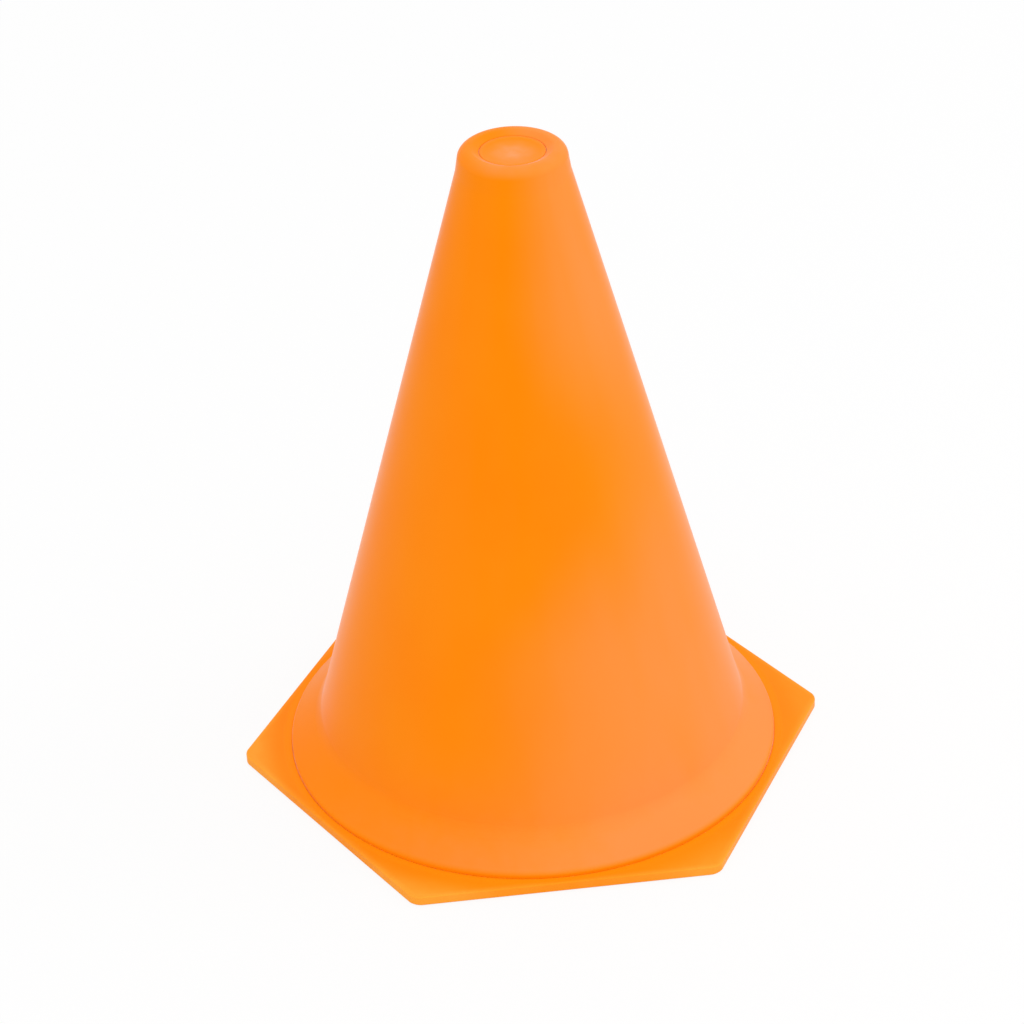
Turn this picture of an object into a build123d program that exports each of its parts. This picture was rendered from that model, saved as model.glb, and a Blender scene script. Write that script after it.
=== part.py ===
from build123d import *
import math
import os

# A sports marker cone: a thin plastic cone whose skirt ends in a rim that plugs into a six-sided base,
# with a small push-in plug closing the hole in its tip.
# Millimetres, +Z up. The origin is the centre of the base's underside, where the cone stands.

# Cone shell
CONE_HEIGHT = 229.0         # ground to the crest of the tip
WALL = 1.5
WALL_FOOT_RADIUS = 74.3     # where the straight wall turns out into the skirt
WALL_FOOT_ROUND = 9.0
SKIRT_REACH = 10.5          # skirt outwards from the foot of the wall
SKIRT_DROP = 9.4            # skirt downwards from the foot of the wall
SKIRT_EDGE_ROUND = 2.2
RIM_STAND = 1.4             # rim above the top of the base, up to the skirt's slope
TIP_SLOPE_WIDTH = 2.4       # tip slopes down to the plug over this width
TIP_SLOPE_ROUND = 2.0
TIP_CREST_WIDTH = 4.1       # from that slope to where the collar's line reaches the level of the tip
TIP_ROUND = 3.4
COLLAR_DROP = 8.0           # steeper collar under the tip, downwards
COLLAR_FLARE = 1.25         # and outwards
COLLAR_ROUND = 12.0         # where it turns into the wall
TIP_LEDGE = 1.2             # tip left under the plug's head

# Six-sided base
BASE_SIDES = 6
BASE_THICKNESS = 3.4
BASE_LIP = 0.85             # flat rim at the middle of each side, outside the seam
BASE_CORNER_ROUND = 5.0
BASE_EDGE_ROUND = 0.5       # upper outer edge
BASE_FOOT_ROUND = 0.4       # lower outer edge

# Seat of the rim in the base
SEAM_WIDTH = 2.6            # top of the base slopes down to the rim over this width
SEAM_DEPTH = 0.3
GROOVE_DEPTH = 2.5          # groove for the rim, below the top of the base
RIM_GAP = 0.05              # clearance on each side of the rim in its groove
LEDGE_WIDTH = 3.0           # ring of the base inside the groove, up to the big opening

# Hollows under the corners of the base
POCKET_WALL = 1.8
POCKET_ROOF = 1.7

# Push-in plug in the tip
PLUG_SHANK_RADIUS = 8.0
PLUG_SHANK_WALL = 1.3
PLUG_SHANK_REACH = 5.0      # shank below the underside of the tip
PLUG_SHANK_GAP = 0.05       # clearance of the shank in its hole
PLUG_LEAD_IN = 0.6          # chamfer at the end of the shank
PLUG_SLOT_WIDTH = 1.6
PLUG_SLOTS = 2              # crossed slots that split the shank into springy legs
PLUG_OVERHANG = 2.6         # head beyond the shank
PLUG_HEAD_THICKNESS = 2.0
PLUG_HEAD_GAP = 0.1         # open ring around the head
PLUG_SUNK = 1.2             # head and mouth of its recess below the crest of the tip
PLUG_EDGE_ROUND = 0.25      # edge of the head and mouth of its recess
PLUG_DISH_BORDER = 1.0      # flat ring around the dish in the head
PLUG_DISH_FLOOR = 1.1       # head left under the middle of the dish

# Sizes that follow, shared by pieces that fit together
SKIRT_RADIUS = WALL_FOOT_RADIUS + SKIRT_REACH
SKIRT_EDGE_HEIGHT = BASE_THICKNESS + RIM_STAND
WALL_FOOT_HEIGHT = SKIRT_EDGE_HEIGHT + SKIRT_DROP
SEAM_RADIUS = SKIRT_RADIUS + SEAM_WIDTH
GROOVE_FLOOR = BASE_THICKNESS - GROOVE_DEPTH
GROOVE_OUTSIDE_RADIUS = SKIRT_RADIUS + RIM_GAP
GROOVE_INSIDE_RADIUS = SKIRT_RADIUS - WALL - RIM_GAP
OPENING_RADIUS = GROOVE_INSIDE_RADIUS - LEDGE_WIDTH
BASE_ACROSS_FLATS = 2 * (SEAM_RADIUS + BASE_LIP)
PLUG_HOLE_RADIUS = PLUG_SHANK_RADIUS + PLUG_SHANK_GAP
PLUG_HEAD_RADIUS = PLUG_SHANK_RADIUS + PLUG_OVERHANG
PLUG_HEAD_TOP = CONE_HEIGHT - PLUG_SUNK
RECESS_RADIUS = PLUG_HEAD_RADIUS + PLUG_HEAD_GAP
RECESS_FLOOR = PLUG_HEAD_TOP - PLUG_HEAD_THICKNESS
TIP_SLOPE_RADIUS = RECESS_RADIUS + TIP_SLOPE_WIDTH
TIP_RADIUS = TIP_SLOPE_RADIUS + TIP_CREST_WIDTH
TIP_UNDERSIDE = RECESS_FLOOR - TIP_LEDGE


def shifted(start, end, distance):
    """The straight run from start to end, moved sideways to the right of its direction."""
    run = math.dist(start, end)
    across = (end[1] - start[1]) / run * distance
    along = (start[0] - end[0]) / run * distance
    return (start[0] + across, start[1] + along), (end[0] + across, end[1] + along)


def crossing(first, second):
    """Where two straight runs, made longer, cross each other."""
    (ax, ay), (bx, by) = first
    (cx, cy), (dx, dy) = second
    first_step = (bx - ax, by - ay)
    second_step = (dx - cx, dy - cy)
    turn = first_step[0] * second_step[1] - first_step[1] * second_step[0]
    share = ((cx - ax) * second_step[1] - (cy - ay) * second_step[0]) / turn
    return ax + share * first_step[0], ay + share * first_step[1]


def revolved(outline):
    """A closed outline of radius and height, turned about the vertical axis."""
    return revolve(Plane.XZ * make_face(outline), Axis.Z)


def cone_body():
    """Thin cone with a closed tip, a flared skirt and a rim, recessed and pierced for the plug."""
    tip_corner = (TIP_RADIUS, CONE_HEIGHT)
    collar_foot = (TIP_RADIUS + COLLAR_FLARE, CONE_HEIGHT - COLLAR_DROP)
    wall_foot = (WALL_FOOT_RADIUS, WALL_FOOT_HEIGHT)
    skirt_edge = (SKIRT_RADIUS, SKIRT_EDGE_HEIGHT)
    rim_end = (SKIRT_RADIUS, GROOVE_FLOOR)

    inner_tip = ((0, TIP_UNDERSIDE), (TIP_RADIUS, TIP_UNDERSIDE))
    inner_wall = shifted(collar_foot, wall_foot, WALL)
    inner_skirt = shifted(wall_foot, skirt_edge, WALL)
    inner_rim = shifted(skirt_edge, rim_end, WALL)
    inner_tip_corner = crossing(inner_tip, inner_wall)
    inner_wall_foot = crossing(inner_wall, inner_skirt)
    inner_skirt_edge = crossing(inner_skirt, inner_rim)

    outside = [
        (PLUG_HOLE_RADIUS, TIP_UNDERSIDE),
        (PLUG_HOLE_RADIUS, RECESS_FLOOR),
        (RECESS_RADIUS, RECESS_FLOOR),
        (RECESS_RADIUS, PLUG_HEAD_TOP),
        (TIP_SLOPE_RADIUS, CONE_HEIGHT),
        tip_corner,
        collar_foot,
        wall_foot,
        skirt_edge,
        rim_end,
    ]
    inside = [inner_rim[1], inner_skirt_edge, inner_wall_foot, inner_tip_corner]
    tip_rounds = [PLUG_EDGE_ROUND, TIP_SLOPE_ROUND, TIP_ROUND, COLLAR_ROUND]
    outside_rounds = [0, 0, 0, *tip_rounds, WALL_FOOT_ROUND, SKIRT_EDGE_ROUND, 0]
    inside_rounds = [0, max(SKIRT_EDGE_ROUND - WALL, 0), WALL_FOOT_ROUND + WALL, max(TIP_ROUND - WALL, 0)]
    return revolved(FilletPolyline(*outside, *inside, radius=outside_rounds + inside_rounds, close=True))


def six_sided(across_flats, corner_round):
    """A six-sided face with rounded corners and a corner on the +X axis."""
    outline = RegularPolygon(across_flats / 2, BASE_SIDES, major_radius=False)
    return fillet(outline.vertices(), corner_round)


def hex_base():
    """Six-sided ring that slopes down to a groove for the rim, with a hollow under each corner."""
    plate = extrude(six_sided(BASE_ACROSS_FLATS, BASE_CORNER_ROUND), BASE_THICKNESS)
    plate = fillet(plate.faces().sort_by(Axis.Z)[-1].edges(), BASE_EDGE_ROUND)
    plate = fillet(plate.faces().sort_by(Axis.Z)[0].edges(), BASE_FOOT_ROUND)

    seat = [
        (GROOVE_INSIDE_RADIUS, GROOVE_FLOOR),
        (GROOVE_OUTSIDE_RADIUS, GROOVE_FLOOR),
        (GROOVE_OUTSIDE_RADIUS, BASE_THICKNESS - SEAM_DEPTH),
        (SEAM_RADIUS, BASE_THICKNESS),
        (GROOVE_INSIDE_RADIUS, BASE_THICKNESS),
    ]
    plate -= revolved(Polyline(*seat, close=True))
    plate -= extrude(Circle(OPENING_RADIUS), BASE_THICKNESS)

    pockets = six_sided(BASE_ACROSS_FLATS - 2 * POCKET_WALL, BASE_CORNER_ROUND - POCKET_WALL)
    pockets -= Circle(SEAM_RADIUS + POCKET_WALL)
    for pocket in pockets.faces():
        plate -= extrude(pocket, BASE_THICKNESS - POCKET_ROOF)
    return plate


def top_plug():
    """Push-in plug: a dished head that sits in the tip's recess, on a hollow split shank."""
    shank_end = TIP_UNDERSIDE - PLUG_SHANK_REACH
    head = [
        (0, RECESS_FLOOR),
        (PLUG_HEAD_RADIUS, RECESS_FLOOR),
        (PLUG_HEAD_RADIUS, PLUG_HEAD_TOP),
        (0, PLUG_HEAD_TOP),
    ]
    shank = [
        (PLUG_SHANK_RADIUS - PLUG_SHANK_WALL, RECESS_FLOOR),
        (PLUG_SHANK_RADIUS, RECESS_FLOOR),
        (PLUG_SHANK_RADIUS, shank_end + PLUG_LEAD_IN),
        (PLUG_SHANK_RADIUS - PLUG_LEAD_IN, shank_end),
        (PLUG_SHANK_RADIUS - PLUG_SHANK_WALL, shank_end),
    ]
    legs = revolved(Polyline(*shank, close=True))
    slot = Box(3 * PLUG_SHANK_RADIUS, PLUG_SLOT_WIDTH, TIP_UNDERSIDE - shank_end)
    slot = Pos(Z=(TIP_UNDERSIDE + shank_end) / 2) * slot
    for turn in range(PLUG_SLOTS):
        legs -= Rot(Z=180 * turn / PLUG_SLOTS) * slot

    dish_radius = PLUG_HEAD_RADIUS - PLUG_DISH_BORDER
    dish_depth = PLUG_HEAD_THICKNESS - PLUG_DISH_FLOOR
    ball_radius = (dish_radius ** 2 + dish_depth ** 2) / (2 * dish_depth)
    dish = Pos(Z=PLUG_HEAD_TOP - dish_depth + ball_radius) * Sphere(ball_radius)
    disc = revolved(FilletPolyline(*head, radius=[0, 0, PLUG_EDGE_ROUND, 0], close=True))
    return disc - dish + legs


PIECES = {
    "cone_body": cone_body,
    "hex_base": hex_base,
    "top_plug": top_plug,
}

os.makedirs("parts", exist_ok=True)
for name, make in PIECES.items():
    piece = make()
    box = piece.bounding_box()
    print(f"{name}: {piece.volume / 1000:.2f} cm3, height {box.min.Z:.2f} to {box.max.Z:.2f} mm")
    export_step(piece, f"parts/{name}.step")
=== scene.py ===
# %% [markdown]
# # A sports marker cone
# The real thing is a small training cone in one soft orange plastic: a thin hollow cone with a flared
# skirt, plugged into a hexagonal base, with a small dished plug in its tip. A construction model holds
# every piece at its real size. This lesson models clean, smooth meshes in the same places, gives them a
# moulded finish and lights them softly. Everything is in metres, and the cone stands on the ground at the
# origin.

import math

import bmesh
import bpy
from mathutils import Matrix, Vector


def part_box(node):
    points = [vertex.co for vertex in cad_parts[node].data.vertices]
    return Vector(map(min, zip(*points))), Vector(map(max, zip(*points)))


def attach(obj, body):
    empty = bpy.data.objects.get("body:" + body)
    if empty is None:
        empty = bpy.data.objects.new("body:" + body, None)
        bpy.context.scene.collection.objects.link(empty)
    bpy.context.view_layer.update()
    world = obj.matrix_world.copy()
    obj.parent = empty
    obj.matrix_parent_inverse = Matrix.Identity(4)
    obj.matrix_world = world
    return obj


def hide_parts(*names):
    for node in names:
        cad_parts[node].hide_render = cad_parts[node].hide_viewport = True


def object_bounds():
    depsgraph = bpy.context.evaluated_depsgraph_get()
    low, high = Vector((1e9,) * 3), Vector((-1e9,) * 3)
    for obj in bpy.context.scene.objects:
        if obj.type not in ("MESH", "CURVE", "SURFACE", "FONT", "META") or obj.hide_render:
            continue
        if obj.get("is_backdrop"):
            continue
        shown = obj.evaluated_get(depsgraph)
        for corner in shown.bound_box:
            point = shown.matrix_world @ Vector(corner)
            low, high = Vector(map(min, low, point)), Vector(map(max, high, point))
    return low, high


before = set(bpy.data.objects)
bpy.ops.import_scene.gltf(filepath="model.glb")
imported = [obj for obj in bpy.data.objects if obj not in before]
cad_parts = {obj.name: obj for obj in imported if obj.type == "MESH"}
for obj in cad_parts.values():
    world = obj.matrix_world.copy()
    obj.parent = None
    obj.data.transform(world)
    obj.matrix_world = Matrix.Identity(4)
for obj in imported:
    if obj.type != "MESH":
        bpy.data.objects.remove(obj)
construction_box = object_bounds()
MM = 0.001

# %% [markdown]
# ## The camera
# The photo looks down on the cone with a long lens, so that sides which run away from us hardly close up. A
# camera could be placed by eye, but then no later comparison would mean much. These angles and distances
# were found by fitting the outline of the cone to the photo. The aim is where the lens points, measured
# from the middle of the base, sideways and upwards as the camera sees it.

# %% Camera
CAMERA_TURN = math.radians(-5.97)
CAMERA_RISE = math.radians(32.72)
CAMERA_TILT = math.radians(-2.17)
CAMERA_DISTANCE = 1.126
AIM_SIDEWAYS = -7.4 * MM
AIM_UPWARDS = 77.8 * MM
LENS = 112.1

facing = Matrix.Rotation(CAMERA_TURN, 4, "Z") @ Matrix.Rotation(math.pi / 2 - CAMERA_RISE, 4, "X")
facing = facing @ Matrix.Rotation(CAMERA_TILT, 4, "Z")
camera = bpy.data.objects.new("camera", bpy.data.cameras.new("camera"))
camera.data.lens = LENS
camera.matrix_world = facing @ Matrix.Translation((AIM_SIDEWAYS, AIM_UPWARDS, CAMERA_DISTANCE))
bpy.context.scene.collection.objects.link(camera)
bpy.context.scene.camera = camera
bpy.context.scene.view_settings.view_transform = "Standard"
print("camera at", [round(value, 3) for value in camera.matrix_world.translation])

# %% [markdown]
# ## Tools for turned shapes
# The cone, the seat in its base and the plug are all round, as if turned on a lathe. A round shape could be
# a stack of cylinders, but its edges would be sharp. Here a chain of edges follows half the cross-section,
# each corner is bevelled into an arc of a real radius, and the chain is spun about the axis. The cut of a
# bevel is measured along the edges, so for an arc of a given radius it is the radius times the tangent of
# half the turn.

# %% Outline, rounding and spin
TURN_STEPS = 192
ARC_STEPS = 10


def bevel(bm, geom, cut, affect, segments=ARC_STEPS):
    """Rounds corners or edges, with a cut measured along the edges beside them."""
    bmesh.ops.bevel(bm, geom=geom, offset=cut, offset_type="OFFSET", affect=affect,
                    segments=segments, profile=0.5, material=-1)


def round_corner(bm, vert, radius):
    """Turns one corner of a chain of edges into an arc."""
    before, after = [edge.other_vert(vert).co for edge in vert.link_edges]
    turn = (vert.co - before).angle(after - vert.co)
    bevel(bm, [vert], radius * math.tan(turn / 2), "VERTICES")


def outline(bm, corners, closed=True):
    """A chain of edges through corners, each a radius, a height and the rounding of that corner."""
    verts = [bm.verts.new((radius, 0, height)) for radius, height, _ in corners]
    ends = verts[1:] + verts[:1] if closed else verts[1:]
    for pair in zip(verts, ends):
        bm.edges.new(pair)
    for vert, (_, _, rounding) in zip(verts, corners):
        if rounding:
            round_corner(bm, vert, rounding)


def spin_round(bm, geom, steps=TURN_STEPS):
    """Spins verts and edges once about the upright axis."""
    bmesh.ops.spin(bm, geom=geom, cent=(0, 0, 0), axis=(0, 0, 1), angle=math.tau, steps=steps,
                   use_merge=True)


print("round shapes have", TURN_STEPS, "steps")

# %% [markdown]
# ## From a mesh to a piece
# A mesh becomes a piece once its doubled points are merged and its faces point outwards. Smooth shading
# alone would smear the round edges over the long flat runs beside them, so edges past a small angle stay
# sharp and a Weighted Normal modifier lets the large faces decide. The piece then takes the place of one
# construction node: it moves with that node's body, and the node is hidden.

# %% Finish a piece
SHARP_ANGLE = math.radians(35)
MERGE_DISTANCE = 0.002 * MM


def finished_piece(bm, name, node, body):
    """Closes and smooths a mesh, and puts it in a construction node's place."""
    bmesh.ops.remove_doubles(bm, verts=bm.verts, dist=MERGE_DISTANCE)
    bmesh.ops.recalc_face_normals(bm, faces=bm.faces)
    open_edges = sum(not edge.is_manifold for edge in bm.edges)
    mesh = bpy.data.meshes.new(name)
    bm.to_mesh(mesh)
    bm.free()
    mesh.shade_smooth()
    mesh.set_sharp_from_angle(angle=SHARP_ANGLE)
    piece = bpy.data.objects.new(name, mesh)
    bpy.context.scene.collection.objects.link(piece)
    piece.modifiers.new("flat_runs", "WEIGHTED_NORMAL").keep_sharp = True
    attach(piece, body)
    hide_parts(node)
    print(f"{name}: {len(mesh.polygons)} faces, {open_edges} open edges")
    return piece


# %% [markdown]
# ## The cone
# The real cone is one thin moulding: a rounded tip that slopes down to a recess for the plug, a steeper
# collar under the tip, a straight wall, a skirt that flares out at its foot, and a rim that goes down into
# the base. Its outside could be modelled alone and thickened, but the tip is thicker than the wall. So the
# outline goes all the way round the cross-section: down the outside, round the rim, and up the inside.
# Behind each turn of the outside, the inside turns where two runs, moved in by the thickness of the wall,
# meet again.

# %% Cone
cone_low, cone_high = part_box("cone_body")
plug_low, plug_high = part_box("top_plug")
WALL = 1.5 * MM
WALL_FOOT = Vector((74.3 * MM, 14.2 * MM))
WALL_FOOT_ROUND = 9.0 * MM
SKIRT_EDGE = Vector((cone_high.x, 4.8 * MM))
SKIRT_EDGE_ROUND = 2.2 * MM
RIM_END = Vector((cone_high.x, cone_low.z))
RIM_END_ROUND = 0.3 * MM
TIP_CORNER = Vector((17.2 * MM, cone_high.z))
TIP_ROUND = 3.4 * MM
COLLAR_FOOT = TIP_CORNER + Vector((1.25 * MM, -8.0 * MM))
COLLAR_ROUND = 12.0 * MM
TIP_UNDERSIDE = 224.6 * MM
RECESS_RADIUS = 10.7 * MM
RECESS_FLOOR = 225.8 * MM
RECESS_ROUND = 0.25 * MM
TIP_SLOPE_RADIUS = 13.1 * MM
TIP_SLOPE_ROUND = 2.0 * MM
PLUG_HOLE_RADIUS = 8.05 * MM


def inside_turn(before, corner, after):
    """Where the inside of the wall turns, behind a corner of the outside."""
    above = (corner - before).normalized()
    below = (after - corner).normalized()
    inwards = Vector((above.y + below.y, -above.x - below.x))
    return corner + inwards * WALL / (1 + above.dot(below))


def cone_mesh():
    """The whole cross-section of the cone, spun."""
    inner_skirt_edge = inside_turn(WALL_FOOT, SKIRT_EDGE, RIM_END)
    inner_wall_foot = inside_turn(COLLAR_FOOT, WALL_FOOT, SKIRT_EDGE)
    taper = (WALL_FOOT.x - COLLAR_FOOT.x) / (COLLAR_FOOT.y - WALL_FOOT.y)
    inner_tip_radius = inner_wall_foot.x - taper * (TIP_UNDERSIDE - inner_wall_foot.y)
    bm = bmesh.new()
    outline(bm, [
        (PLUG_HOLE_RADIUS, TIP_UNDERSIDE, 0),
        (PLUG_HOLE_RADIUS, RECESS_FLOOR, 0),
        (RECESS_RADIUS, RECESS_FLOOR, 0),
        (RECESS_RADIUS, plug_high.z, RECESS_ROUND),
        (TIP_SLOPE_RADIUS, TIP_CORNER.y, TIP_SLOPE_ROUND),
        (*TIP_CORNER, TIP_ROUND),
        (*COLLAR_FOOT, COLLAR_ROUND),
        (*WALL_FOOT, WALL_FOOT_ROUND),
        (*SKIRT_EDGE, SKIRT_EDGE_ROUND),
        (*RIM_END, RIM_END_ROUND),
        (RIM_END.x - WALL, RIM_END.y, RIM_END_ROUND),
        (*inner_skirt_edge, SKIRT_EDGE_ROUND - WALL),
        (*inner_wall_foot, WALL_FOOT_ROUND + WALL),
        (inner_tip_radius, TIP_UNDERSIDE, TIP_ROUND - WALL),
    ])
    spin_round(bm, bm.verts[:] + bm.edges[:])
    return bm


marker_cone = finished_piece(cone_mesh(), "marker_cone", "cone_body", "cone")

# %% [markdown]
# ## The hexagonal base
# The base is a thin plate with six rounded corners. Its top slopes down a little to a groove that the rim
# stands in, and a wide opening lets cones stack. Cutting a plate with a boolean would work, but it leaves
# ragged faces. Instead the seat of the rim is spun, the plate's edge is a six-sided circle with bevelled
# corners, and the two are bridged above and below. Both loops need as many edges, so the flats are divided
# until they have. A bridge twists when the faces beside its two loops run round the same way, so the faces
# of the plate's edge are turned over first.

# %% Base
base_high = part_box("hex_base")[1]
BASE_SIDES = 6
BASE_CORNER_ROUND = 5.0 * MM
BASE_EDGE_ROUND = 0.5 * MM
BASE_FOOT_ROUND = 0.4 * MM
SEAM_RADIUS = 87.4 * MM
SEAM_LIP_ROUND = 0.3 * MM
SEAM_DEPTH = 0.3 * MM
SEAM_ROUND = 0.2 * MM
GROOVE_FLOOR = RIM_END.y
GROOVE_OUTSIDE = 84.85 * MM
GROOVE_INSIDE = 83.25 * MM
OPENING_RADIUS = 80.25 * MM
OPENING_ROUND = 0.4 * MM
half_side_turn = math.pi / BASE_SIDES


def plate_edge(bm):
    """The upright edge of the plate. Returns its upper and lower loops."""
    bmesh.ops.create_circle(bm, segments=BASE_SIDES, radius=base_high.y / math.cos(half_side_turn))
    bmesh.ops.rotate(bm, verts=bm.verts, cent=(0, 0, 0), matrix=Matrix.Rotation(half_side_turn, 3, "Z"))
    bevel(bm, bm.verts[:], BASE_CORNER_ROUND * math.tan(half_side_turn), "VERTICES")
    flats = [edge for edge in bm.edges if edge.calc_length() > BASE_CORNER_ROUND]
    bmesh.ops.subdivide_edges(bm, edges=flats, cuts=TURN_STEPS // BASE_SIDES - ARC_STEPS - 1)
    lower = bm.edges[:]
    raised = bmesh.ops.extrude_edge_only(bm, edges=lower)["geom"]
    upper = [part for part in raised if isinstance(part, bmesh.types.BMEdge)]
    corners = [part for part in raised if isinstance(part, bmesh.types.BMVert)]
    bmesh.ops.translate(bm, verts=corners, vec=(0, 0, base_high.z))
    upper = [edge for edge in upper if all(vert in corners for vert in edge.verts)]
    return upper, lower


def seat_ring(bm):
    """The slope, the groove and the wide opening. Returns the upper and lower loops around them."""
    edge_count = len(bm.edges)
    outline(bm, [
        (SEAM_RADIUS, base_high.z, 0),
        (GROOVE_OUTSIDE, base_high.z - SEAM_DEPTH, SEAM_ROUND),
        (GROOVE_OUTSIDE, GROOVE_FLOOR, 0),
        (GROOVE_INSIDE, GROOVE_FLOOR, 0),
        (GROOVE_INSIDE, base_high.z, 0),
        (OPENING_RADIUS, base_high.z, OPENING_ROUND),
        (OPENING_RADIUS, 0, OPENING_ROUND),
        (SEAM_RADIUS, 0, 0),
    ], closed=False)
    spun = bm.edges[edge_count:]
    ends = list({vert for edge in spun for vert in edge.verts})
    spin_round(bm, ends + spun)
    rings = [edge for edge in bm.edges[edge_count:] if edge.is_boundary]
    upper = [edge for edge in rings if edge.verts[0].co.z > base_high.z / 2]
    lower = [edge for edge in rings if edge.verts[0].co.z < base_high.z / 2]
    return upper, lower


base_bm = bmesh.new()
edge_above, edge_below = plate_edge(base_bm)
edge_faces = base_bm.faces[:]
seat_above, seat_below = seat_ring(base_bm)
bmesh.ops.recalc_face_normals(base_bm, faces=base_bm.faces)
bmesh.ops.reverse_faces(base_bm, faces=edge_faces)
print("loops to bridge:", len(edge_above), len(seat_above), len(edge_below), len(seat_below))

# %% [markdown]
# ## Closing the base
# Bridging fills the plate's upper side and its underside with one face for each step. A moulded edge is
# never sharp: the plate's upper edge, its foot and the line where the slope begins each get a small bevel.
# They are bevelled one after the other, because each has its own radius.

# %% Bridge and bevel the base
EDGE_STEPS = 5
SMALL_EDGE_STEPS = 3

bmesh.ops.bridge_loops(base_bm, edges=edge_above + seat_above)
bmesh.ops.bridge_loops(base_bm, edges=edge_below + seat_below)
bmesh.ops.recalc_face_normals(base_bm, faces=base_bm.faces)
bevel(base_bm, edge_above, BASE_EDGE_ROUND, "EDGES", EDGE_STEPS)
bevel(base_bm, edge_below, BASE_FOOT_ROUND, "EDGES", SMALL_EDGE_STEPS)
bevel(base_bm, seat_above, SEAM_LIP_ROUND, "EDGES", SMALL_EDGE_STEPS)
print("base has", len(base_bm.faces), "faces")

# %% [markdown]
# ## Hollows under the corners
# A thick corner would sink in as it cools, so a moulder hollows it out from below. Each hollow could be cut
# with a block, but its walls should follow the edge of the base. An inset does that: the underside faces
# near a corner shrink by the thickness of a wall, and an extrude pushes them up into the plate.

# %% Hollow the corners
POCKET_WALL = 1.8 * MM
POCKET_DEPTH = 1.7 * MM
POCKET_REACH = math.radians(13.5)
FACING_DOWN = -0.99
side_turn = 2 * half_side_turn


def faces_under(bm, corner):
    """The faces of the underside that lie near one corner of the base."""
    towards = Vector((math.cos(corner * side_turn), math.sin(corner * side_turn)))
    underside = [face for face in bm.faces if face.normal.z < FACING_DOWN]
    middles = [(face, face.calc_center_median().xy) for face in underside]
    return [face for face, middle in middles
            if middle.length > SEAM_RADIUS and middle.angle(towards) < POCKET_REACH]


for corner in range(BASE_SIDES):
    hollow = faces_under(base_bm, corner)
    bmesh.ops.inset_region(base_bm, faces=hollow, thickness=POCKET_WALL, use_even_offset=True,
                           use_boundary=True)
    pushed = bmesh.ops.extrude_face_region(base_bm, geom=hollow)["geom"]
    roof = [part for part in pushed if isinstance(part, bmesh.types.BMVert)]
    bmesh.ops.translate(base_bm, verts=roof, vec=(0, 0, POCKET_DEPTH))
    bmesh.ops.delete(base_bm, geom=[face for face in hollow if face.is_valid], context="FACES")

base_plate = finished_piece(base_bm, "base_plate", "hex_base", "cone")

# %% [markdown]
# ## The plug
# The plug closes the hole that the tip is moulded through. Its head is a shallow dish, flush with the foot
# of the tip's slope, and its hollow shank is split into four springy legs. A dish could be dented into a
# flat head, but then its edge would be vague. Here it is an arc of a large circle, made by spinning one
# point about the middle of that circle. The rest of the cross-section is an outline as before, and both are
# spun together.

# %% Plug
HEAD_ROUND = 0.25 * MM
DISH_RADIUS = 9.6 * MM
DISH_DEPTH = 0.9 * MM
DISH_STEPS = 12
SHANK_RADIUS = 8.0 * MM
SHANK_BORE = 6.7 * MM
LEAD_IN = 0.6 * MM
PLUG_STEPS = 116


def plug_mesh():
    """The dish and the rest of the plug's cross-section, spun."""
    ball = (DISH_RADIUS ** 2 + DISH_DEPTH ** 2) / (2 * DISH_DEPTH)
    dish_floor = plug_high.z - DISH_DEPTH
    bm = bmesh.new()
    middle = bm.verts.new((0, 0, dish_floor))
    bmesh.ops.spin(bm, geom=[middle], cent=(0, 0, dish_floor + ball), axis=(0, -1, 0),
                   angle=math.asin(DISH_RADIUS / ball), steps=DISH_STEPS)
    outline(bm, [
        (DISH_RADIUS, plug_high.z, 0),
        (plug_high.x, plug_high.z, HEAD_ROUND),
        (plug_high.x, RECESS_FLOOR, 0),
        (SHANK_RADIUS, RECESS_FLOOR, 0),
        (SHANK_RADIUS, TIP_UNDERSIDE, 0),
        (SHANK_RADIUS, plug_low.z + LEAD_IN, 0),
        (SHANK_RADIUS - LEAD_IN, plug_low.z, 0),
        (SHANK_BORE, plug_low.z, 0),
        (SHANK_BORE, TIP_UNDERSIDE, 0),
        (SHANK_BORE, RECESS_FLOOR, 0),
        (0, RECESS_FLOOR, 0),
    ], closed=False)
    spin_round(bm, bm.verts[:] + bm.edges[:], PLUG_STEPS)
    bmesh.ops.remove_doubles(bm, verts=bm.verts, dist=MERGE_DISTANCE)
    return bm


plug_bm = plug_mesh()
print("plug has", len(plug_bm.faces), "faces")

# %% [markdown]
# ## Splitting the shank
# Two saw cuts cross the shank. They could be cut with thin blocks, but the spun mesh already has edges on
# both sides of each cut: the faces between them are deleted, the open edges at the top of the cut are
# bridged, and the cut faces of the legs are filled in.

# %% Split the shank
LEGS = 4
CUT_STEPS = 2
cut_half_turn = CUT_STEPS * math.tau / PLUG_STEPS


def in_cut(point, cut):
    """Whether a point of the shank lies in one of the cuts."""
    towards = Vector((math.cos(cut * math.tau / LEGS), math.sin(cut * math.tau / LEGS)))
    return point.z < TIP_UNDERSIDE + MERGE_DISTANCE and point.xy.angle(towards) < cut_half_turn


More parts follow.
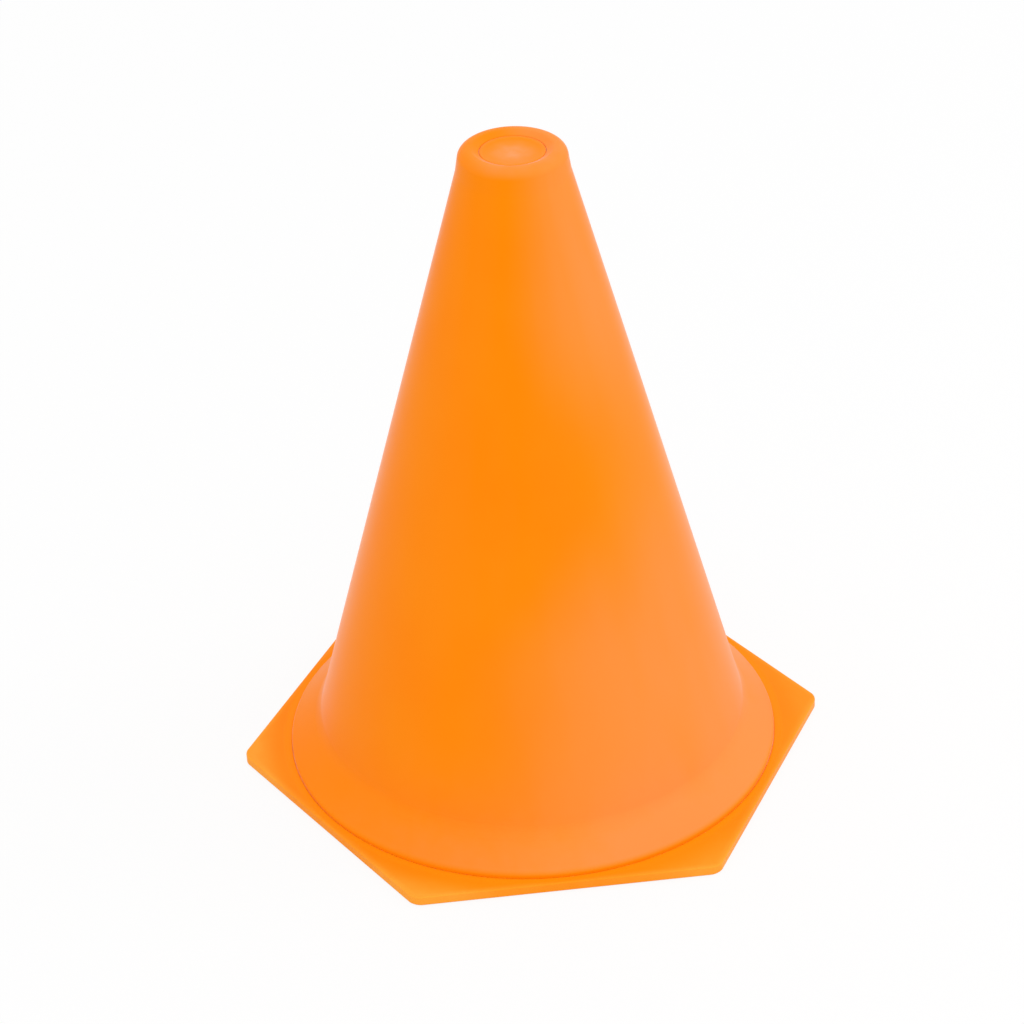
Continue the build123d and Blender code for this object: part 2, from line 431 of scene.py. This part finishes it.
for cut in range(LEGS):
    below = [face for face in plug_bm.faces if face.calc_center_median().z < TIP_UNDERSIDE - MERGE_DISTANCE]
    gone = [face for face in below if in_cut(face.calc_center_median(), cut)]
    bmesh.ops.delete(plug_bm, geom=gone, context="FACES")
    open_edges = [edge for edge in plug_bm.edges if edge.is_boundary]
    ceiling = [edge for edge in open_edges if in_cut((edge.verts[0].co + edge.verts[1].co) / 2, cut)
               and abs(edge.verts[0].co.z - edge.verts[1].co.z) < MERGE_DISTANCE
               and edge.verts[0].co.z > TIP_UNDERSIDE - MERGE_DISTANCE]
    bmesh.ops.bridge_loops(plug_bm, edges=ceiling)
    bmesh.ops.holes_fill(plug_bm, edges=[edge for edge in plug_bm.edges if edge.is_boundary], sides=0)

tip_plug = finished_piece(plug_bm, "tip_plug", "top_plug", "plug")

# %% [markdown]
# ## Shader sums in plain Python
# A finish is built from nodes, and a sum such as one minus a mask takes a node for each sign. Wiring those
# by hand hides what is meant. This small class wraps the output of a node: arithmetic on it adds Math
# nodes, and one method adds any other node, with its settings first and then the values or links of its
# sockets.

# %% Signals
class Signal:
    """An output of a shader node, which can be used in sums."""

    def __init__(self, tree, socket=None):
        self.tree = tree
        self.socket = socket

    def node(self, kind, settings, sockets, output=0):
        """Adds a node to the same tree and returns one of its outputs."""
        made = self.tree.nodes.new(kind)
        for name, setting in settings.items():
            setattr(made, name, setting)
        inputs = {socket.identifier: socket for socket in made.inputs}
        for name, value in sockets.items():
            if isinstance(value, Signal):
                self.tree.links.new(value.socket, inputs[name])
            else:
                inputs[name].default_value = value
        return Signal(self.tree, made.outputs[output] if made.outputs else None)

    def beside(self, output):
        """Another output of the same node."""
        return Signal(self.tree, self.socket.node.outputs[output])

    def maths(self, operation, first, second):
        """One Math node."""
        return self.node("ShaderNodeMath", {"operation": operation}, {"Value": first, "Value_001": second})

    def __add__(self, other):
        return self.maths("ADD", self, other)

    def __sub__(self, other):
        return self.maths("SUBTRACT", self, other)

    def __rsub__(self, other):
        return self.maths("SUBTRACT", other, self)

    def __mul__(self, other):
        return self.maths("MULTIPLY", self, other)

    def __truediv__(self, other):
        return self.maths("DIVIDE", self, other)

    def __pow__(self, other):
        return self.maths("POWER", self, other)

    def __abs__(self):
        return self.node("ShaderNodeMath", {"operation": "ABSOLUTE"}, {"Value": self})

    __radd__ = __add__
    __rmul__ = __mul__


print("signals can be added, subtracted, multiplied, divided, raised to a power and freed of their sign")

# %% [markdown]
# ## Small shader helpers
# A few things come back in every finish. A cloud is a noise whose patches have a real size in metres. A
# step fades from nothing to all between two values. Patches are a cloud whose middle greys are drawn apart
# by a step. Wear is never even, so a factor around one, made from a cloud, goes with each mask of wear and
# with the painted light that shares a mask with it. A mix goes from one colour to another by a mask.

# %% Clouds, steps and mixes
PATCH_LOW = 0.3
PATCH_HIGH = 0.7
LEAST_WEAR = 0.5
WEAR_DETAIL = 3


def cloud(place, size, detail=2):
    """Soft noise from 0 to 1 whose patches are about as large as size."""
    return place.node("ShaderNodeTexNoise", {}, {"Vector": place, "Scale": 1 / size, "Detail": detail}, "Fac")


def step(value, low, high):
    """Fades from 0 at low to 1 at high."""
    settings = {"interpolation_type": "SMOOTHSTEP"}
    return value.node("ShaderNodeMapRange", settings, {"Value": value, "From Min": low, "From Max": high})


def patches(place, size, detail):
    """Patches from 0 to 1 with soft edges."""
    return step(cloud(place, size, detail), PATCH_LOW, PATCH_HIGH)


def uneven(place, size):
    """A factor around 1 that breaks up wear and the painted light mixed with it."""
    return LEAST_WEAR + cloud(place, size, WEAR_DETAIL)


def mix(mask, first, second):
    """Goes from the first colour to the second as the mask goes from 0 to 1."""
    sockets = {"Factor_Float": mask, "A_Color": first, "B_Color": second}
    return mask.node("ShaderNodeMix", {"data_type": "RGBA"}, sockets, 2)


print("helpers: cloud, step, patches, uneven and mix")

# %% [markdown]
# ## The orange plastic
# All three pieces are moulded from the same soft orange plastic. On the real cone it is a dull satin,
# almost even, and a little cloudy where the pigment has mixed less well. One flat colour would look like
# paint. So two close oranges drift into each other in patches a few centimetres wide, the surface has the
# gentle ripple of a thin moulding, and a very fine grain comes from the mould. A strong white gloss would
# grey the orange, so the gloss is weak and warm. Soft plastic also sweats out a thin pale bloom, which
# shows only where the surface turns away from us. That is what sheen does, so it gives the wall its soft
# rim. Each piece then adds its own marks: a pale mask for its wear and for painted light, and a mask for a
# lighter orange, which paints light into the shade of the seam and colours hidden parts that are unworn.

# %% Moulded plastic
ORANGE = (0.98, 0.236, 0.001, 1)
CLOUDY_ORANGE = (0.98, 0.25, 0.002, 1)
# The pale orange stands for wear and for painted light.
WEAR_AND_PAINTED_LIGHT_ORANGE = (1.0, 0.28, 0.065, 1)
# A lighter orange: painted light in the shade of the seam, and hidden parts that are unworn.
SEAM_LIGHT_AND_FRESH_ORANGE = (0.99, 0.29, 0.002, 1)
PIGMENT_SIZE = 48 * MM
PIGMENT_DETAIL = 3
SATIN = 0.5
SATIN_DRIFT = 0.08
SATIN_SIZE = 21 * MM
PALE_ROUGHNESS = 0.12
PLASTIC_IOR = 1.5
GLOSS_LEVEL = 0.15
WARM_GLOSS = (1.0, 0.62, 0.06, 1)
BLOOM = 0.6
BLOOM_ROUGHNESS = 0.25
BLOOM_TINT = (1.0, 0.8, 0.75, 1)
RIPPLE_SIZE = 34 * MM
RIPPLE_HEIGHT = 0.09 * MM
GRAIN_SIZE = 0.7 * MM
GRAIN_HEIGHT = 0.004 * MM


def moulded_plastic(name, marks, orange=ORANGE, pale_orange=WEAR_AND_PAINTED_LIGHT_ORANGE):
    """The plastic of one piece. marks gives that piece's two masks from its coordinates: pale for wear and
    painted light, and one for a lighter orange, painted light in the seam and unworn hidden parts.
    """
    material = bpy.data.materials.new(name)
    material.use_nodes = True
    material.node_tree.nodes.clear()
    start = Signal(material.node_tree)
    place = start.node("ShaderNodeTexCoord", {}, {}, "Object")
    x = start.node("ShaderNodeSeparateXYZ", {}, {"Vector": place})
    pale, seam_light_and_fresh = marks(place, x, x.beside("Y"), x.beside("Z"))

    colour = mix(patches(place, PIGMENT_SIZE, PIGMENT_DETAIL), orange, CLOUDY_ORANGE)
    # The pale mask mixes in wear and painted light.
    colour = mix(pale, colour, pale_orange)
    # The second mask paints the seam lighter, as painted light against its shade.
    colour = mix(seam_light_and_fresh, colour, SEAM_LIGHT_AND_FRESH_ORANGE)
    roughness = SATIN + SATIN_DRIFT * cloud(place, SATIN_SIZE) + PALE_ROUGHNESS * pale
    ripple = RIPPLE_HEIGHT * cloud(place, RIPPLE_SIZE, detail=0)
    height = ripple + GRAIN_HEIGHT * cloud(place, GRAIN_SIZE, detail=1)
    bumped = start.node("ShaderNodeBump", {}, {"Height": height, "Distance": 1.0, "Strength": 1.0})
    surface = start.node("ShaderNodeBsdfPrincipled", {}, {
        "Base Color": colour,
        "Roughness": roughness,
        "Normal": bumped,
        "IOR": PLASTIC_IOR,
        "Specular IOR Level": GLOSS_LEVEL,
        "Specular Tint": WARM_GLOSS,
        "Sheen Weight": BLOOM,
        "Sheen Roughness": BLOOM_ROUGHNESS,
        "Sheen Tint": BLOOM_TINT,
    })
    start.node("ShaderNodeOutputMaterial", {}, {"Surface": surface})
    print(name, "has", len(material.node_tree.nodes), "nodes")
    return material


# %% [markdown]
# ## Marks on the cone
# The photo's wall is paler on its right, in one patch near the tip and a wider one at the foot, with a
# strong orange left in a belt between them. That paleness is light, and here it is painted into the colour
# as painted light on one side. It could be painted with one smooth ramp, but it is broken up instead. The
# plastic fills the mould from the tip, so the pigment is drawn out into broad streaks down the wall, and
# they break the painted light up. Noise on the bare coordinates would make round blots: dividing by the
# radius gives a direction that is the same all the way down, and a small share of the height is added so
# that the streaks end somewhere. Stacking scuffs the tip and the skirt, and the scuffs are kept to the lit
# side, as painted light. The rim is painted lighter where it goes down into its seam, as painted light.

# %% Cone finish
STREAKS_AROUND = 2.5
STREAK_LENGTH = 90 * MM
STREAK_DETAIL = 2
STREAK_TRACE = 0.03
# These set painted light: one side of the wall is painted paler, less in the belt and near the tip.
LIT_SIDE = math.radians(-26)
SHADE = -0.2
FULLY_LIT = 1.0
PAINTED_LIGHT_LEVEL = 0.6
PAINTED_LIGHT_STREAKS = 0.28
BELT_HEIGHT = 127 * MM
BELT_REACH = 62 * MM
BELT_LESS_LIGHT = 0.6
TIP_LESS_LIGHT = 0.35
TIP_SCUFF = 0.6
SKIRT_SCUFF = 0.38
SCUFF_SIZE = 6 * MM
LEAST_SCUFFED = -0.9
MOST_SCUFFED = 0.1


def cone_marks(place, x, y, z):
    """Painted light on one side, in streaks, with a belt left out, scuffs on the lit side, and a rim painted
    lighter in its seam.
    """
    radius = (x * x + y * y) ** 0.5
    across = x / radius
    along = y / radius
    drawn_out = place.node("ShaderNodeCombineXYZ", {}, {
        "X": across * STREAKS_AROUND,
        "Y": along * STREAKS_AROUND,
        "Z": z / STREAK_LENGTH,
    })
    streaks = patches(drawn_out, 1.0, STREAK_DETAIL)
    tip = step(z, TIP_CORNER.y - TIP_ROUND, TIP_CORNER.y)
    skirt = step(radius, WALL_FOOT.x - WALL_FOOT_ROUND, SKIRT_EDGE.x)
    belt = 1 - step(abs(z - BELT_HEIGHT), 0, BELT_REACH)
    # Painted light: paler on the side that this direction faces.
    towards_lit_side = across * math.cos(LIT_SIDE) + along * math.sin(LIT_SIDE)
    less_lit = BELT_LESS_LIGHT * belt + z * (TIP_LESS_LIGHT / TIP_CORNER.y)
    on_lit_side = step(towards_lit_side - less_lit, SHADE, FULLY_LIT)
    painted_light = on_lit_side * (PAINTED_LIGHT_LEVEL + PAINTED_LIGHT_STREAKS * streaks) * (1 - tip)
    # Scuffs on the tip and skirt, kept to the lit side: partly wear, partly painted light.
    scuffed_on_lit_side = (TIP_SCUFF * tip + SKIRT_SCUFF * skirt) * step(towards_lit_side, LEAST_SCUFFED, MOST_SCUFFED)
    pale = STREAK_TRACE * streaks + painted_light + scuffed_on_lit_side * uneven(place, SCUFF_SIZE)
    # Painted light: the rim is painted lighter where it goes down into the shade of the seam.
    seam_light_and_fresh = 1 - step(z, SKIRT_EDGE.y - SKIRT_EDGE_ROUND / 2, SKIRT_EDGE.y + SKIRT_EDGE_ROUND / 2)
    return pale, seam_light_and_fresh


marker_cone.data.materials.append(moulded_plastic("cone_satin", cone_marks))

# %% [markdown]
# ## Marks on the base
# The base is another moulding, and it is given a lighter, yellower orange as painted light where the cone
# shades it. Its outer edge and its corners are painted paler: the edge partly from kicks and drags and partly
# as painted light, the corners partly from wear and partly as a painted reflection, most of all on the left
# as painted light. The ring around the rim is painted lighter, as painted light against the shade of the
# seam. Painting each corner would take six masks. Instead one sum serves them all: how far a point lies
# towards the edge of a hexagon is the largest of its distances along the three directions that face a flat.

# %% Base finish
# A lighter, yellower orange: painted light on the base, which the cone shades.
BASE_ORANGE_PAINTED_LIGHTER = (0.98, 0.27, 0.003, 1)
# Paler orange for wear and painted light on the base.
BASE_WEAR_AND_PAINTED_LIGHT = (1.0, 0.37, 0.035, 1)
EDGE_WEAR_AND_LIGHT = 0.4
EDGE_RUB_WIDTH = 2.5 * MM
CORNER_WEAR_AND_REFLECTION = 0.4
# The side that the lamps light less is painted paler, as painted light.
DIMMER_SIDE_LIGHT = 0.75
DIMMER_SIDE = math.radians(172)
RUB_SIZE = 7 * MM
SEAM_BLUR = 1.0 * MM


def towards_flat(x, y):
    """How far a point lies from the middle of the base towards its nearest flat."""
    leaning = x * math.cos(half_side_turn)
    first_pair = abs(leaning + y * math.sin(half_side_turn))
    second_pair = abs(leaning - y * math.sin(half_side_turn))
    larger = first_pair.maths("MAXIMUM", first_pair, second_pair)
    return larger.maths("MAXIMUM", larger, abs(y))


def base_marks(place, x, y, z):
    """Pale edge and corners from wear and painted light, more so on the side the lamps light less, and a ring
    around the rim painted lighter in the seam.
    """
    radius = (x * x + y * y) ** 0.5
    # Edge: partly wear, partly painted light.
    edge = step(towards_flat(x, y), base_high.y - EDGE_RUB_WIDTH, base_high.y)
    # Corners: partly wear, partly a painted reflection.
    corner = step(radius, SEAM_RADIUS + SEAM_BLUR, base_high.x)
    # Painted light: paler towards the side that the lamps light less.
    towards_dimmer_side = step(x * math.cos(DIMMER_SIDE) + y * math.sin(DIMMER_SIDE), -base_high.x, base_high.x)
    wear_and_light = EDGE_WEAR_AND_LIGHT * edge + (CORNER_WEAR_AND_REFLECTION + DIMMER_SIDE_LIGHT * towards_dimmer_side) * corner
    pale = wear_and_light * uneven(place, RUB_SIZE)
    # Painted light: the ring around the rim is painted lighter against the shade of the seam.
    seam_light_and_fresh = 1 - step(radius, SEAM_RADIUS - SEAM_BLUR, SEAM_RADIUS + SEAM_BLUR)
    return pale, seam_light_and_fresh


base_plate.data.materials.append(moulded_plastic("base_satin", base_marks, BASE_ORANGE_PAINTED_LIGHTER, BASE_WEAR_AND_PAINTED_LIGHT))

# %% [markdown]
# ## Marks on the plug
# The middle of the plug's dish is the palest spot of the photo's tip. That spot is a highlight, painted into
# the colour as a painted highlight. The edge of the head is a little pale too, from wear. The shank is hidden
# in the tip and stays unworn. The masks run along the radius and the height, because the plug is round: a
# painted map would need unwrapping for no gain.

# %% Plug finish
# Pale orange for the painted highlight in the dish and for wear at the head's edge.
PLUG_HIGHLIGHT_AND_WEAR = (1.0, 0.32, 0.11, 1)
# Strength of the painted highlight in the middle of the dish.
DISH_HIGHLIGHT = 1.6
HEAD_EDGE_RUB = 0.3
HEAD_EDGE_WIDTH = 2.0 * MM
PLUG_PATCH_SIZE = 4 * MM


def plug_marks(place, x, y, z):
    """A painted highlight in the middle of the dish, pale wear at the edge of the head, and unworn plastic
    below the head.
    """
    radius = (x * x + y * y) ** 0.5
    middle = 1 - step(radius, 0, DISH_RADIUS)
    edge = step(radius, plug_high.x - HEAD_EDGE_WIDTH, plug_high.x)
    # Painted highlight in the dish, and pale wear at the edge of the head.
    pale = (DISH_HIGHLIGHT * middle + HEAD_EDGE_RUB * edge) * cloud(place, PLUG_PATCH_SIZE, WEAR_DETAIL)
    seam_light_and_fresh = 1 - step(z, RECESS_FLOOR, RECESS_FLOOR + HEAD_ROUND)
    return pale, seam_light_and_fresh


tip_plug.data.materials.append(moulded_plastic("plug_satin", plug_marks, pale_orange=PLUG_HIGHLIGHT_AND_WEAR))

# %% [markdown]
# ## Floor and surroundings
# The photo has a plain white ground. A floor that is lit until it burns out would also wash out the cone.
# So the floor is a pale, really lit surface for the light that bounces, and mostly plain white for the
# camera and for reflections, which leaves a soft shadow under the cone. The room around it is an even
# white, at a level where a colour renders about as it is written.

# %% Floor and world
FLOOR_SIDE = 40.0
FLOOR_DROP = 0.2 * MM
FLOOR_PAINT = (0.86, 0.86, 0.86, 1)
WHITE = (1, 1, 1, 1)
PLAIN_WHITE_SHARE = 0.88
ROOM_LIGHT = 0.96


def floor_paint():
    """Pale paint that the camera sees as nearly plain white, with the shadow left in."""
    material = bpy.data.materials.new("floor_paint")
    material.use_nodes = True
    material.node_tree.nodes.clear()
    start = Signal(material.node_tree)
    rays = start.node("ShaderNodeLightPath", {}, {}, "Is Camera Ray")
    seen = rays + rays.beside("Is Glossy Ray") + rays.beside("Is Transmission Ray")
    lit = start.node("ShaderNodeBsdfDiffuse", {}, {"Color": FLOOR_PAINT})
    plain = start.node("ShaderNodeEmission", {}, {"Color": WHITE, "Strength": 1.0})
    sockets = {"Fac": PLAIN_WHITE_SHARE * seen, "Shader": lit, "Shader_001": plain}
    surface = start.node("ShaderNodeMixShader", {}, sockets)
    start.node("ShaderNodeOutputMaterial", {}, {"Surface": surface})
    return material


floor_bm = bmesh.new()
bmesh.ops.create_grid(floor_bm, x_segments=1, y_segments=1, size=FLOOR_SIDE / 2)
bmesh.ops.translate(floor_bm, verts=floor_bm.verts, vec=(0, 0, -FLOOR_DROP))
floor = bpy.data.objects.new("floor", bpy.data.meshes.new("floor"))
floor_bm.to_mesh(floor.data)
floor_bm.free()
floor.data.materials.append(floor_paint())
bpy.context.scene.collection.objects.link(floor)
floor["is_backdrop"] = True

room = bpy.data.worlds.new("room")
room.use_nodes = True
room.node_tree.nodes.clear()
bpy.context.scene.world = room
room_start = Signal(room.node_tree)
room_light = room_start.node("ShaderNodeBackground", {}, {"Color": WHITE, "Strength": ROOM_LIGHT})
room_start.node("ShaderNodeOutputWorld", {}, {"Surface": room_light})
print("floor of", FLOOR_SIDE, "metres, room light", ROOM_LIGHT)

# %% [markdown]
# ## Lamps
# Product photos of small goods are lit by large soft boxes. One hangs high in front, so that the wall and
# the base are lit alike, and one stands at the right, where the photo's wall is a little lighter. Point
# lamps would draw hard shadows. A soft box's brightness is its power over pi and its area, so the power is
# worked out from that.

# %% Soft boxes
SOFT_BOXES = {
    "front": {"side": 0.6, "at": (0.1, -0.7, 1.4), "brightness": 2.6},
    "right": {"side": 0.6, "at": (1.2, 0.1, 0.9), "brightness": 2.5},
}
LIT_POINT = Vector((0, 0, 100 * MM))

for name, box in SOFT_BOXES.items():
    lamp = bpy.data.objects.new(name, bpy.data.lights.new(name, "AREA"))
    lamp.data.size = box["side"]
    lamp.data.energy = box["brightness"] * math.pi * box["side"] ** 2
    lamp.location = box["at"]
    lamp.rotation_euler = (LIT_POINT - lamp.location).to_track_quat("-Z", "Y").to_euler()
    bpy.context.scene.collection.objects.link(lamp)
    print(name, "soft box of", round(lamp.data.energy, 1), "watts")

# %% [markdown]
# Both boxes, of the construction model and of the dressed model, are printed side by side. The dressed
# model may not grow past the construction model.

# %% Print the sizes
boxes = {"construction": construction_box, "dressed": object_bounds()}
for name, (low, high) in boxes.items():
    print(name, "size in mm:", [round(side / MM, 2) for side in high - low])
